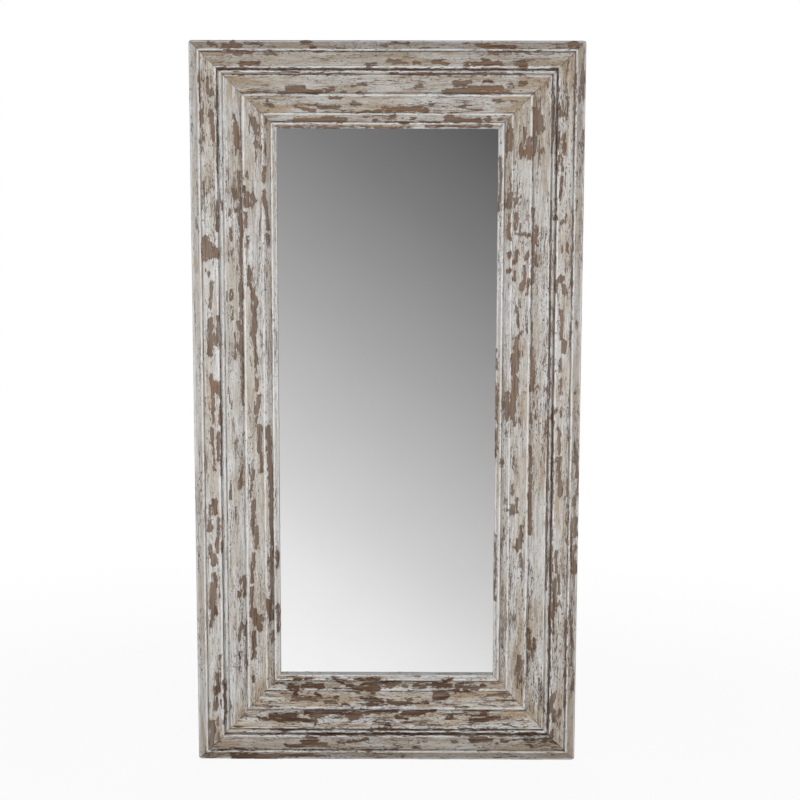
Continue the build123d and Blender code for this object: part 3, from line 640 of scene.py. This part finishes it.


# flakes that stand out in the photograph, drawn as (radius, along, inset, along, inset, ...) in mm;
# along runs from the top on the uprights and from the left on the others, inset from the outer edge
flakes = {
    "left": [
        (5, 188, 34, 225, 35), (2.5, 225, 35, 262, 36), (3, 150, 31, 165, 31), (4, 106, 50, 130, 52),
        (8, 134, 56, 141, 61), (6, 188, 56, 202, 57), (5, 203, 62, 245, 63), (3, 245, 65, 265, 67),
        (1.4, 120, 75, 350, 74), (3, 425, 75, 440, 72, 505, 71), (3, 432, 84, 450, 85), (8, 528, 39, 582, 39),
        (12, 548, 49, 574, 47), (9, 560, 62, 574, 68), (3.5, 617, 44, 624, 47), (4, 648, 54, 716, 51),
        (8, 750, 52, 800, 50, 842, 48), (7, 788, 60, 814, 63), (3, 740, 71, 820, 71), (6, 904, 48, 935, 55),
        (8, 925, 60, 945, 64), (3.5, 935, 53, 1030, 56), (3.5, 920, 73, 1040, 74), (1.6, 1040, 75, 1180, 75),
        (5, 1052, 49, 1090, 51), (2.2, 1090, 54, 1165, 57), (6, 1063, 69, 1135, 68), (7, 1250, 54, 1285, 57),
        (5, 1265, 45, 1290, 43), (4, 1310, 41, 1335, 40), (5, 1378, 44, 1400, 43), (9, 1405, 49, 1427, 50),
        (6, 1460, 53, 1490, 56), (9, 1490, 49, 1550, 45, 1570, 50), (5, 1570, 45, 1606, 41),
        (3, 1300, 66, 1358, 66, 1370, 60, 1398, 61), (2.5, 1365, 74, 1395, 74), (2.6, 1695, 64, 1735, 63),
        (4.5, 1745, 59, 1800, 56), (3.6, 1785, 51, 1850, 50), (2.6, 1765, 76, 1835, 77, 1890, 76),
        (10, 1888, 42, 1918, 42), (6, 1915, 39, 1950, 36), (4, 1875, 57, 1890, 55), (4, 1920, 57, 1938, 58),
        (1.6, 80, 29, 300, 30), (3, 197, 118, 212, 119), (6.5, 218, 122, 282, 125), (3, 285, 122, 305, 121),
        (3.5, 350, 129, 520, 132, 700, 131, 850, 132, 985, 133), (7.5, 398, 118, 418, 121), (4, 449, 121, 453, 124),
        (3.6, 450, 106, 466, 103), (3, 503, 105, 530, 106), (3, 560, 107, 573, 107), (2.4, 668, 107, 696, 105),
        (2.2, 716, 107, 748, 108), (5, 756, 124, 772, 126), (2.6, 788, 113, 830, 116), (6.5, 824, 120, 836, 130),
        (3.2, 838, 116, 853, 114), (5.5, 1190, 126, 1215, 124), (4, 1160, 128, 1185, 127),
        (4.2, 1472, 131, 1524, 131), (3.4, 1480, 124, 1492, 124), (4, 1513, 118, 1524, 117),
        (4, 1613, 130, 1640, 132), (2.2, 1624, 118, 1652, 118), (1.6, 1590, 134, 1740, 135),
        (5, 392, 143, 402, 143), (7.5, 409, 151, 436, 153), (5.5, 413, 162, 424, 170), (4.6, 459, 146, 496, 146),
        (2.6, 525, 148, 552, 148), (2.4, 350, 150, 364, 150), (7.5, 206, 166, 221, 168), (8.5, 224, 175, 244, 176),
        (5, 267, 175, 276, 176), (3, 283, 187, 286, 187), (4, 603, 154, 652, 152),
        (6, 655, 154, 680, 162, 700, 170), (6.5, 700, 172, 722, 165, 792, 164), (4.5, 795, 165, 842, 167),
        (4.5, 844, 170, 880, 168), (2.5, 880, 170, 900, 173), (5, 912, 174, 946, 169), (5.5, 963, 174, 1008, 169),
        (6.5, 1048, 177, 1122, 176), (3.2, 1124, 179, 1162, 182), (4.2, 1170, 181, 1178, 181),
        (4.2, 1170, 157, 1198, 155), (3, 1200, 152, 1245, 152), (5, 1262, 158, 1345, 158),
        (5.5, 1332, 166, 1392, 164), (4.4, 1412, 158, 1452, 157), (3.2, 1455, 152, 1490, 153),
        (5, 1508, 152, 1586, 151), (6, 1574, 159, 1612, 161), (8, 1598, 168, 1628, 173), (4, 1585, 167, 1602, 183),
        (4.6, 1634, 158, 1708, 156), (4.2, 1766, 152, 1778, 153), (4, 336, 196, 376, 196), (4, 400, 196, 432, 196),
        (5, 430, 197, 500, 204), (3.6, 520, 204, 546, 205), (5, 1050, 201, 1080, 198),
        (6.2, 1080, 202, 1200, 206, 1245, 207), (5, 1258, 207, 1310, 206, 1350, 208),
        (4.8, 1350, 206, 1500, 206, 1560, 205), (8, 1548, 199, 1602, 204), (3.4, 1564, 223, 1640, 223),
        (3.4, 1410, 222, 1450, 222), (3, 1638, 208, 1668, 208),
    ],
    "right": [
        (3, 80, 8, 155, 8), (2.6, 85, 14, 160, 15), (3, 235, 6, 275, 6), (2.6, 152, 49, 200, 49),
        (6.5, 193, 55, 196, 66), (4, 178, 69, 198, 68), (2.6, 246, 58, 262, 59), (6.5, 274, 58, 298, 58),
        (2.6, 300, 62, 344, 63), (2.6, 343, 64, 343, 72), (5.5, 362, 62, 381, 62), (2.2, 398, 65, 416, 66),
        (2, 80, 75, 350, 74), (1.4, 90, 29, 260, 29), (1.8, 450, 30, 820, 30), (2.2, 420, 76, 450, 76),
        (2.8, 466, 76, 476, 77), (3.2, 580, 76, 592, 76), (4.2, 481, 50, 485, 60), (3.6, 546, 44, 560, 44),
        (2.8, 545, 57, 560, 57), (8.5, 636, 56, 640, 68), (6, 655, 52, 672, 48), (4, 645, 73, 668, 73),
        (2.5, 120, 86, 300, 87), (2.2, 420, 88, 860, 88, 1350, 87, 1500, 87), (6.5, 200, 117, 235, 116),
        (7, 186, 125, 242, 125), (3, 150, 122, 190, 120), (5, 180, 131, 302, 134), (2.5, 285, 112, 296, 112),
        (3.2, 445, 134, 520, 133, 650, 135), (4.5, 490, 126, 540, 128), (3, 575, 126, 600, 124),
        (6.5, 258, 147, 310, 148), (6, 294, 152, 300, 163), (3.2, 230, 160, 265, 161), (3.2, 272, 168, 308, 169),
        (2.6, 318, 184, 324, 184), (3.6, 518, 142, 512, 178), (6, 568, 149, 582, 153), (4, 600, 154, 640, 155),
        (8, 648, 156, 662, 162), (3.2, 634, 146, 680, 147), (3, 416, 170, 440, 185), (4.2, 460, 181, 502, 179),
        (3, 490, 168, 506, 170), (4.6, 566, 176, 592, 182), (3, 616, 183, 640, 184), (4.2, 235, 196, 285, 198),
        (3.2, 255, 204, 292, 207), (5, 408, 196, 442, 200), (3.4, 432, 206, 440, 207), (4, 464, 198, 476, 198),
        (4.6, 485, 198, 530, 199), (4.2, 568, 198, 578, 198), (4.2, 614, 197, 618, 201),
        (3, 310, 225, 350, 222, 450, 226), (4.4, 724, 57, 762, 54), (5.5, 765, 56, 798, 57),
        (4.8, 812, 48, 833, 47), (3, 860, 59, 884, 57), (3.8, 912, 57, 950, 54), (2.6, 990, 50, 1010, 53),
        (2.6, 994, 67, 998, 68), (3.8, 1045, 61, 1062, 57, 1112, 57), (6.2, 1130, 58, 1190, 56),
        (7, 1198, 54, 1232, 54), (2.6, 985, 76, 1340, 75, 1420, 75), (3.6, 760, 134, 862, 134),
        (5, 868, 131, 942, 131), (3.8, 1010, 133, 1032, 134), (3.2, 1100, 133, 1200, 133),
        (4.8, 1212, 133, 1320, 132, 1345, 134), (4, 780, 161, 794, 169), (6.5, 800, 175, 830, 178),
        (8.5, 838, 172, 890, 176), (5, 850, 183, 900, 184), (7.5, 908, 176, 960, 180), (8.5, 958, 183, 1022, 183),
        (3, 1020, 178, 1045, 177), (3.2, 1022, 165, 1034, 165), (6.5, 958, 200, 1026, 198),
        (4, 964, 206, 1002, 207), (4, 1255, 168, 1286, 170), (7.5, 1272, 178, 1290, 180), (3, 1282, 192, 1286, 197),
        (3.2, 1214, 180, 1236, 181), (4.4, 1328, 156, 1350, 156), (3, 1146, 211, 1170, 211),
        (2.2, 835, 226, 890, 226), (2.6, 930, 225, 1040, 225), (2.6, 1060, 226, 1135, 226),
        (4.2, 1118, 10, 1182, 6), (3.2, 1195, 5, 1236, 5), (5.5, 1238, 10, 1258, 14), (8.5, 1300, 10, 1346, 10),
        (3.2, 942, 14, 950, 14), (3, 1000, 9, 1008, 8), (3, 1258, 32, 1264, 32), (3, 1308, 33, 1314, 33),
        (3, 1350, 30, 1370, 30), (5, 1382, 8, 1408, 15), (6.5, 1424, 11, 1450, 11), (1.6, 1300, 19, 1470, 19),
        (2.6, 1560, 19, 1650, 14, 1790, 7), (3, 1700, 20, 1750, 20), (3.6, 1590, 30, 1636, 30),
        (1.6, 1640, 30, 1900, 30), (3.2, 1395, 62, 1450, 61), (7.5, 1478, 65, 1540, 64), (6.5, 1540, 66, 1582, 72),
        (4, 1430, 74, 1600, 76), (3.2, 1460, 52, 1512, 52), (3.6, 1532, 50, 1545, 51), (2.2, 1600, 76, 1900, 76),
        (7, 1806, 64, 1822, 68), (4.6, 1828, 70, 1850, 70), (5.5, 1850, 60, 1882, 60), (6.5, 1910, 62, 1926, 67),
        (4, 1850, 45, 1862, 46), (3.8, 1648, 117, 1700, 121), (5, 1624, 132, 1678, 131),
        (3.6, 1690, 134, 1755, 133), (5.5, 1348, 155, 1360, 158), (9, 1368, 162, 1390, 165),
        (3, 1410, 155, 1442, 155), (6, 1706, 155, 1742, 156), (5, 1716, 148, 1724, 150),
        (3.8, 1745, 158, 1776, 155), (3.2, 1785, 160, 1795, 161), (2.6, 1360, 226, 1550, 226),
    ],
    "top": [
        (3, 55, 9, 75, 14), (4.8, 93, 18, 140, 17), (6.5, 119, 6, 126, 12), (2.6, 150, 9, 200, 12),
        (4.8, 305, 6, 324, 6), (3, 326, 20, 338, 20), (3.2, 514, 13, 530, 18), (3.6, 530, 12, 586, 9),
        (3.2, 97, 33, 145, 36), (4.2, 160, 33, 172, 33), (2.4, 215, 36, 236, 35), (4.8, 143, 65, 188, 62),
        (2, 82, 76, 520, 77, 985, 76), (3.6, 478, 66, 504, 61), (5, 537, 56, 566, 57), (3, 565, 60, 586, 61),
        (3.8, 602, 60, 620, 60), (4.2, 656, 56, 672, 57), (2.6, 672, 60, 692, 62), (4.2, 742, 63, 750, 63),
        (6.2, 764, 64, 782, 62), (9, 790, 57, 805, 60), (5, 808, 62, 836, 62), (5.5, 878, 62, 902, 60),
        (5.5, 890, 72, 905, 75), (6.2, 774, 14, 802, 14), (4.2, 804, 18, 872, 18), (4.2, 804, 32, 862, 32),
        (2.6, 862, 30, 942, 29), (8.5, 1023, 12, 1032, 10), (1.6, 90, 30, 420, 30), (6.5, 263, 127, 306, 124),
        (5, 268, 134, 358, 133), (3.2, 204, 132, 208, 134), (3.6, 240, 136, 262, 136), (5.5, 370, 131, 384, 128),
        (3.2, 395, 133, 416, 133), (2.6, 455, 136, 472, 136), (1.5, 120, 89, 460, 89), (3, 438, 118, 472, 115),
        (4.2, 612, 120, 624, 119), (5, 712, 110, 756, 108), (4.2, 714, 117, 738, 118), (2.6, 792, 107, 816, 107),
        (2.6, 856, 112, 864, 112), (3.2, 888, 111, 906, 113), (6.5, 694, 132, 760, 130), (9.5, 752, 127, 836, 126),
        (4.6, 686, 134, 862, 134), (3, 375, 150, 405, 151), (4, 208, 162, 218, 170), (3, 285, 172, 300, 175),
        (4, 305, 178, 335, 184), (4, 346, 173, 400, 172), (4, 495, 184, 522, 180), (7, 530, 179, 622, 178),
        (4, 615, 182, 640, 183), (1.6, 410, 186, 500, 186), (4, 438, 165, 452, 165), (3, 645, 165, 656, 165),
        (3, 730, 170, 742, 170), (3, 818, 155, 836, 157), (6, 280, 207, 342, 208), (6.5, 344, 206, 416, 207),
        (3.6, 491, 205, 500, 205), (4, 540, 197, 552, 198), (3, 596, 205, 606, 205), (2.6, 530, 212, 600, 212),
        (2.6, 620, 212, 672, 211), (6.5, 692, 202, 706, 198), (6.5, 696, 207, 782, 207), (6, 803, 205, 809, 204),
        (2.6, 834, 205, 844, 203), (2.6, 640, 223, 820, 223), (2.2, 230, 225, 600, 226),
        (2.2, 540, 88, 610, 89, 900, 88),
    ],
    "bottom": [
        (8.5, 98, 9, 216, 8), (5.5, 214, 12, 320, 16), (5, 95, 19, 116, 21), (1.6, 40, 30, 560, 30),
        (5, 246, 41, 362, 45), (10.5, 298, 54, 332, 54), (5, 308, 66, 332, 68), (3.8, 424, 53, 450, 55),
        (3.6, 458, 58, 478, 64), (3.2, 396, 51, 416, 50), (2.6, 310, 76, 640, 76, 962, 76),
        (2.6, 205, 89, 520, 89, 872, 89), (4, 170, 114, 212, 113), (5, 210, 114, 332, 112), (5, 330, 104, 330, 116),
        (6.5, 205, 121, 276, 125), (6.5, 318, 124, 350, 127), (4, 300, 131, 420, 132), (7, 420, 126, 456, 127),
        (8, 430, 118, 446, 120), (4, 454, 131, 560, 135), (4.2, 560, 119, 593, 116), (6.2, 582, 130, 640, 131),
        (3.6, 640, 133, 673, 135), (3, 703, 118, 720, 119), (2.4, 716, 124, 719, 134), (6.2, 770, 113, 800, 115),
        (5, 800, 115, 832, 119), (3, 830, 122, 852, 122), (4.2, 800, 130, 819, 133), (2.6, 864, 102, 882, 102),
        (2, 525, 98, 545, 98), (6.5, 266, 170, 272, 179), (4, 275, 168, 332, 166), (4, 345, 171, 330, 180),
        (5, 360, 158, 388, 158), (4.8, 389, 168, 392, 172), (2.6, 405, 152, 426, 152), (4.2, 458, 168, 490, 165),
        (6.5, 494, 163, 519, 160), (3, 480, 152, 506, 152), (3.6, 535, 162, 562, 155), (5.5, 562, 153, 602, 155),
        (4, 590, 160, 601, 164), (2.6, 602, 154, 650, 154), (4, 636, 157, 648, 158), (8.5, 671, 173, 700, 175),
        (9.5, 671, 182, 700, 181), (4, 665, 189, 735, 190), (3, 446, 183, 454, 182), (3, 490, 181, 498, 180),
        (7.5, 254, 197, 276, 197), (5, 290, 200, 352, 201), (4, 418, 200, 452, 196), (7.5, 456, 196, 506, 195),
        (5, 464, 205, 506, 206), (3.6, 508, 207, 570, 207), (4.8, 534, 200, 548, 200), (3.8, 440, 216, 510, 218),
        (3, 270, 216, 288, 217), (2.6, 300, 219, 318, 220), (2, 375, 224, 398, 212, 413, 203),
        (2, 572, 208, 586, 198, 606, 184), (5.5, 612, 202, 636, 200), (3, 645, 204, 656, 204),
        (6.5, 664, 204, 712, 202), (4.2, 694, 212, 714, 213), (7.5, 734, 200, 747, 202), (4.2, 711, 218, 718, 219),
        (5, 752, 196, 786, 196), (3, 802, 204, 810, 204), (5.5, 770, 58, 830, 60), (7.5, 775, 66, 812, 68),
        (5, 860, 60, 870, 60), (3, 890, 63, 900, 62), (3, 925, 61, 950, 60), (3, 936, 48, 944, 43),
        (3, 1004, 55, 1016, 50), (3, 720, 55, 732, 56), (3.6, 608, 37, 616, 38), (2.4, 622, 38, 626, 39),
        (2, 616, 43, 628, 44), (2, 614, 52, 622, 52),
    ],
}
# warm sets how warm a side's paint and bare wood are, and how much painted shade darkens that side
sideLook = {
    "bottom": {"flaking": 0.08, "warm": 1.0, "seed": 1.3, "jointFill": 0.8 * mm},
    "right": {"flaking": 0.07, "warm": 0.35, "seed": 14.7, "jointFill": 7.0 * mm},
    "top": {"flaking": 0.06, "warm": 0.75, "seed": 27.1, "jointFill": 1.0 * mm},
    "left": {"flaking": 0.06, "warm": 0.2, "seed": 39.9, "jointFill": 8.5 * mm},
}
sideTurn = {  # along each rail, and from it towards the glass
    "bottom": (Vector((1, 0, 0)), Vector((0, 0, 1))), "right": (Vector((0, 0, 1)), Vector((-1, 0, 0))),
    "top": (Vector((-1, 0, 0)), Vector((0, 0, -1))), "left": (Vector((0, 0, -1)), Vector((1, 0, 0))),
}
seedStep = 3.0  # between the three mouldings of one side


def makeMouldings():
    size = mouldingSize
    tree, sockets = mouldingTree()
    sections = {"outer_rail": sectionMesh("outer_section", outerSection),
                "inner_rail": sectionMesh("inner_section", innerSection),
                "sight_slip": sectionMesh("slip_section", slipSection)}
    centre = Vector((0, 0, floorGap + size["height"] / 2))
    for side, (along, inward) in sideTurn.items():
        upright = side in ("left", "right")
        length, across = (size["height"], size["width"]) if upright else (size["width"], size["height"])
        look = sideLook[side]
        strokes = lineObject(side + "_flakes", [
            (radius * mm, [(length - x * mm if side in ("top", "right") else x * mm, inset * mm, 0.0)
                           for x, inset in zip(places[::2], places[1::2])])
            for radius, *places in flakes[side]])
        for order, (part, section) in enumerate(sections.items()):
            made = bakeNodes(part + "_" + side + "_carved", tree, sockets, {
                **size, **look, "section": section, "strokes": strokes, "length": length, "halfAcross": across / 2,
                "step": size["longStep"] if upright else size["shortStep"], "seed": look["seed"] + order * seedStep,
                "centre": centre, "along": along, "inward": inward, "finish": timberPaint})
            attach(made, "root")
            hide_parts(part + "_" + side)
        bpy.data.objects.remove(strokes)
        print("moulding", side)
    for section in sections.values():
        bpy.data.objects.remove(section)


makeMouldings()

screwSize = {  # shank radius, head radius, length
    "batten_screws": (2.5 * mm, 5.0 * mm, 64 * mm), "backing_screws": (1.75 * mm, 3.5 * mm, 25 * mm),
    "brace_screws": (2.0 * mm, 4.0 * mm, 28 * mm), "hanger_screws": (2.25 * mm, 4.2 * mm, 35 * mm),
    "bumper_screws": (1.75 * mm, 3.4 * mm, 25 * mm),
}
screwDetail = {
    "sides": 20, "rings": 56, "slotWidth": 0.26, "slotReach": 0.62, "slotDepth": 0.42, "threadPitch": 2.6 * mm,
    "threadRoot": 0.72, "threadRise": 0.56, "threadFrom": 4 * mm, "threadTo": 7 * mm,
    "rimShare": 0.93, "rimFlare": 3.0, "rimHeight": 0.35 * mm, "pointSlope": 0.8, "pointRadius": 0.05 * mm,
}


def screwTree():
    # countersunk screws with a cross in the head, one at each point, each turned its own way
    tree, sockets, sheet, given = newTree("driven_screws", {
        "Object": ("places",), "Int": ("rings", "sides", "seed"), "Material": ("finish",),
        "Float": ("shank", "head", "length", "slotWidth", "slotReach", "slotDepth", "threadPitch", "threadRoot",
                  "threadRise", "threadFrom", "threadTo", "rimShare", "rimFlare", "rimHeight", "pointSlope",
                  "pointRadius")})
    shank, head, length = given["shank"], given["head"], given["length"]
    axis = sheet.put("GeometryNodeCurvePrimitiveLine", None, {"End": sheet.join(0.0, -length, 0.0)})
    axis = sheet.put("GeometryNodeResampleCurve", {"mode": "COUNT"}, {"Curve": axis, "Count": given["rings"]})
    depth = sheet.put("GeometryNodeSplineParameter", None, None, "Length")
    thread = (depth / given["threadPitch"]).calc("PINGPONG", 0.5) * given["threadRise"] + given["threadRoot"]
    body = shank * (1 - depth.ease(given["threadFrom"], given["threadTo"]) * (1 - thread))
    cone = (head * given["rimShare"] + depth * given["rimFlare"]).least(head - depth + given["rimHeight"])
    radius = cone.most(body).least((length - depth) * given["pointSlope"] + given["pointRadius"])
    axis = sheet.put("GeometryNodeSetCurveRadius", None, {"Curve": axis, "Radius": radius})
    ring = sheet.put("GeometryNodeCurvePrimitiveCircle", None, {"Resolution": given["sides"], "Radius": 1.0})
    screw = sheet.put("GeometryNodeCurveToMesh", None, {"Curve": axis, "Profile Curve": ring, "Scale": radius,
                                                        "Fill Caps": True})
    deep, wide = head * given["slotDepth"] * 2, head * given["slotWidth"]
    reach = head * given["slotReach"] * 2
    for sides in ((reach, deep, wide), (wide, deep, reach)):
        slot = sheet.put("GeometryNodeMeshCube", None, {"Size": sheet.join(*sides)})
        screw = sheet.put("GeometryNodeMeshBoolean", {"operation": "DIFFERENCE"}, {"Mesh 1": screw, "Mesh 2": slot})
    turn = sheet.put("FunctionNodeRandomValue", {"data_type": "FLOAT"}, {"Max": 2 * math.pi, "Seed": given["seed"]})
    screws = sheet.put("GeometryNodeInstanceOnPoints", None, {
        "Points": sheet.shapeOf(given["places"]), "Instance": sheet.shade(screw, False),
        "Rotation": sheet.join(0.0, turn, 0.0)})
    finishTree(sheet, screws, given["finish"])
    return tree, sockets


def headPlaces(node, headRadius):
    # the middle of each screw head, found in the CAD screws, whose heads all face the wall
    found = []
    for spot in sorted((node.matrix_world @ v.co for v in node.data.vertices), key=lambda p: -p.y):
        for group in found:
            if math.hypot(spot.x - group[0].x, spot.z - group[0].z) < headRadius * 2.2:
                if spot.y > group[0].y - 0.01 * mm:
                    group.append(spot)
                break
        else:
            found.append([spot])
    middles = []
    for group in found:
        xs, zs = [p.x for p in group], [p.z for p in group]
        middles.append(((min(xs) + max(xs)) / 2, group[0].y, (min(zs) + max(zs)) / 2))
    return sorted(middles)


def makeScrews():
    tree, sockets = screwTree()
    for seed, (name, (shank, head, length)) in enumerate(screwSize.items()):
        mesh = bpy.data.meshes.new(name + "_places")
        places = headPlaces(cadNodes[name], head)
        mesh.from_pydata(places, [], [])
        markers = addObject(name + "_places", mesh)
        made = bakeNodes(name + "_driven", tree, sockets, {
            **screwDetail, "places": markers, "shank": shank, "head": head, "length": length, "seed": seed,
            "finish": screwZinc})
        bpy.data.objects.remove(markers)
        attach(made, "root")
        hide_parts(name)
        print(len(places), name)


ringSize = {
    "wire": 2.25 * mm, "halfWidth": 17 * mm, "corner": 4 * mm, "arm": 14 * mm, "sides": 24, "cornerSteps": 10,
    "bowSteps": 40, "step": 0.9 * mm, "weldLength": 2.2 * mm, "weldRise": 0.14,
}


def ringPath(centre):
    # the D from its straight bar, as (x, y, z)
    half, corner, arm, steps = (ringSize[key] for key in ("halfWidth", "corner", "arm", "cornerSteps"))

    def bow(cx, cz, radius, first, last, count):
        turns = [math.radians(first + (last - first) * i / count) for i in range(count + 1)]
        return [(cx + radius * math.cos(turn), cz + radius * math.sin(turn)) for turn in turns]

    places = [(0.0, 0.0)] + bow(half - corner, -corner, corner, 90, 0, steps)
    places += bow(0.0, -arm, half, 0, -180, ringSize["bowSteps"])
    places += bow(corner - half, -corner, corner, 180, 90, steps)
    return [(centre.x + x, centre.y, centre.z + z) for x, z in places]


def ringTree():
    tree, sockets, sheet, given = newTree("bent_wire_ring", {
        "Object": ("path",), "Float": ("wire", "step", "weldLength", "weldRise"), "Int": ("sides",),
        "Vector": ("weldPlace",), "Material": ("finish",)})
    path = sheet.evenSteps(sheet.shapeOf(given["path"]), given["step"])
    away = sheet.arrow("DISTANCE", sheet.put("GeometryNodeInputPosition"), given["weldPlace"], out="Value")
    weld = 1 - away.ease(given["weldLength"] * 0.4, given["weldLength"])
    thick = given["wire"] * (1 + weld * given["weldRise"])
    circle = sheet.put("GeometryNodeCurvePrimitiveCircle", None, {"Resolution": given["sides"], "Radius": 1.0})
    wire = sheet.put("GeometryNodeCurveToMesh", None, {"Curve": path, "Profile Curve": circle, "Scale": thick})
    finishTree(sheet, sheet.shade(wire, True), given["finish"])
    return tree, sockets


def makeRings():
    tree, sockets = ringTree()
    size = ringSize
    for side in ("left", "right"):
        low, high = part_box("d_ring_" + side)
        centre = Vector(((low[0] + high[0]) / 2, (low[1] + high[1]) / 2, high[2] - size["wire"]))
        path = lineObject("ring_path", [(1.0, ringPath(centre))], closed=True)
        made = bakeNodes("ring_wire_" + side, tree, sockets, {
            **size, "path": path, "finish": plateZinc,
            "weldPlace": Vector((centre.x, centre.y, centre.z - size["arm"] - size["halfWidth"]))})
        bpy.data.objects.remove(path)
        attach(made, "ring_" + side)
        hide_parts("d_ring_" + side)
    print("rings bent")


makeScrews()
makeRings()

# finishes of the nodes that keep their CAD shape, by how a name starts;
# a pair is for timber of the left and right sides, and of the top and bottom
finishes = {
    "mirror_glass": glassSilver, "backing_board": boardBrown, "corner_brace": plateZinc,
    "strap_hanger": plateZinc, "d_ring": plateZinc, "wall_bumper": blackRubber, "foot_pad": blackRubber,
    "glass_packing": blackRubber, "rail_dowels": beech, "mitre_splines": beech,
    "rib_block": (pineLevel, pineUpright), "back_batten": (pineUpright, pineLevel),
    "glass_batten": (pineUpright, pineLevel), **{name: screwZinc for name in screwSize},
}


def finishNodes():
    for name, node in cadNodes.items():
        for start, finish in finishes.items():
            if name.startswith(start):
                if isinstance(finish, tuple):
                    finish = finish[0] if "left" in name or "right" in name else finish[1]
                node.data.materials.clear()
                node.data.materials.append(finish)


finishNodes()
print("CAD finishes set")

studio = {
    "cameraPlace": (0.0473, -4.1184, 1.5367), "focal": 1490.7, "imageWidth": 800,  # focal length in pixels
    "pitch": 7.078, "yaw": 0.160, "roll": 0.128, "sensor": 36, "farthest": 60,
    "ambient": 0.20, "blueness": 1.01, "floorHalf": 12, "floorWhite": 0.92, "floorFade": (0.8, 3.0),
    # what the mirror sees, by the height of the view and how far it goes sideways
    "fallSideways": 0.72, "fallShift": 0.0635, "fallRange": (-0.4, 0.4),
    "greys": [(-0.31, 251), (-0.27, 246), (-0.23, 237), (-0.17, 216), (-0.10, 193), (-0.035, 170), (0.02, 151),
              (0.075, 129), (0.156, 97), (0.3, 80)],
}
softboxes = {  # place, aim, width, height, watts
    "left_softbox": ((-1.6, -2.1, 1.25), (0, 0, 1.1), 1.0, 1.5, 37.5),
    "right_softbox": ((1.6, -2.1, 1.25), (0, 0, 1.1), 1.0, 1.5, 35.625),
    "top_softbox": ((0.0, -1.6, 3.6), (0, 0, 1.0), 2.6, 1.4, 9.5),
    "back_softbox": ((0.6, 3.2, 2.2), (0, 0, 1.0), 2.6, 2.0, 66.0),
}


def makeCamera():
    camera = addObject("camera", bpy.data.cameras.new("camera"))
    camera.data.sensor_width = studio["sensor"]
    camera.data.lens = studio["focal"] / studio["imageWidth"] * studio["sensor"]
    camera.data.clip_end = studio["farthest"]
    pitch, yaw, roll = (math.radians(studio[k]) for k in ("pitch", "yaw", "roll"))
    forward = Vector((-math.sin(yaw) * math.cos(pitch), math.cos(yaw) * math.cos(pitch), -math.sin(pitch)))
    turn = forward.to_track_quat("-Z", "Y").to_matrix() @ Matrix.Rotation(roll, 3, "Z")
    camera.matrix_world = Matrix.Translation(studio["cameraPlace"]) @ turn.to_4x4()
    bpy.context.scene.camera = camera


def makeWorld():
    # camera rays see white; a mirror sees the studio, which darkens upwards and to the right
    world = bpy.data.worlds.new("studio")
    bpy.context.scene.world = world
    world.use_nodes = True
    world.node_tree.nodes.clear()
    sheet = Sheet(world.node_tree)
    white = (1.0, 1.0, 1.0, 1.0)
    path = sheet.put("ShaderNodeLightPath", None, None, "Is Camera Ray")
    direction = sheet.put("ShaderNodeTexCoord", None, None, "Generated")
    depth = direction.axis("Y").size().most(0.02)
    rise, sideways = direction.axis("Z") / depth, direction.axis("X") / depth
    fall = rise + sideways * studio["fallSideways"] + studio["fallShift"]
    low, high = studio["fallRange"]
    stops = [((place - low) / (high - low), tint(grey, grey, grey)) for place, grey in studio["greys"]]
    seen = sheet.put("ShaderNodeValToRGB", {"stops": stops}, {"Fac": (fall - low) / (high - low)}, "Color")
    glossy = path.also("Is Glossy Ray").most(path.also("Is Transmission Ray"))
    level = studio["ambient"]
    light = sheet.blend(glossy, (level, level, level * studio["blueness"], 1.0), seen)
    ground = sheet.put("ShaderNodeBackground", None, {"Color": sheet.blend(path, light, white), "Strength": 1.0})
    sheet.put("ShaderNodeOutputWorld", None, {"Surface": ground})


def makeFloor():
    half, white = studio["floorHalf"], studio["floorWhite"]
    mesh = bpy.data.meshes.new("floor")
    mesh.from_pydata([(-half, -half, 0), (half, -half, 0), (half, half, 0), (-half, half, 0)], [], [(0, 1, 2, 3)])
    floor = addObject("floor", mesh)
    material, sheet, place = newMaterial("pale_floor")
    path = sheet.put("ShaderNodeLightPath", None, None, "Is Camera Ray")
    away = sheet.arrow("LENGTH", place, out="Value").ease(*studio["floorFade"])
    dull = sheet.put("ShaderNodeBsdfDiffuse", None, {"Color": tint(212, 212, 211)})
    glow = sheet.put("ShaderNodeEmission", None, {"Color": (1, 1, 1, 1), "Strength": 1.0})
    share = path * (away * (1 - white) + white)
    mixed = sheet.put("ShaderNodeMixShader", None, {0: share, 1: dull, 2: glow})
    sheet.put("ShaderNodeOutputMaterial", None, {"Surface": mixed})
    mesh.materials.append(material)
    floor.visible_glossy = False  # a mirror looks through it to the studio's even grey


def makeSoftboxes():
    for name, (place, aim, wide, tall, power) in softboxes.items():
        lamp = bpy.data.lights.new(name, "AREA")
        lamp.shape, lamp.size, lamp.size_y, lamp.energy = "RECTANGLE", wide, tall, power
        made = addObject(name, lamp)
        turn = (Vector(aim) - Vector(place)).to_track_quat("-Z", "Y").to_matrix().to_4x4()
        made.matrix_world = Matrix.Translation(place) @ turn
        made.visible_glossy = False


bpy.context.scene.view_settings.view_transform = "Standard"
makeCamera()
makeWorld()
makeFloor()
makeSoftboxes()
print("studio lit")
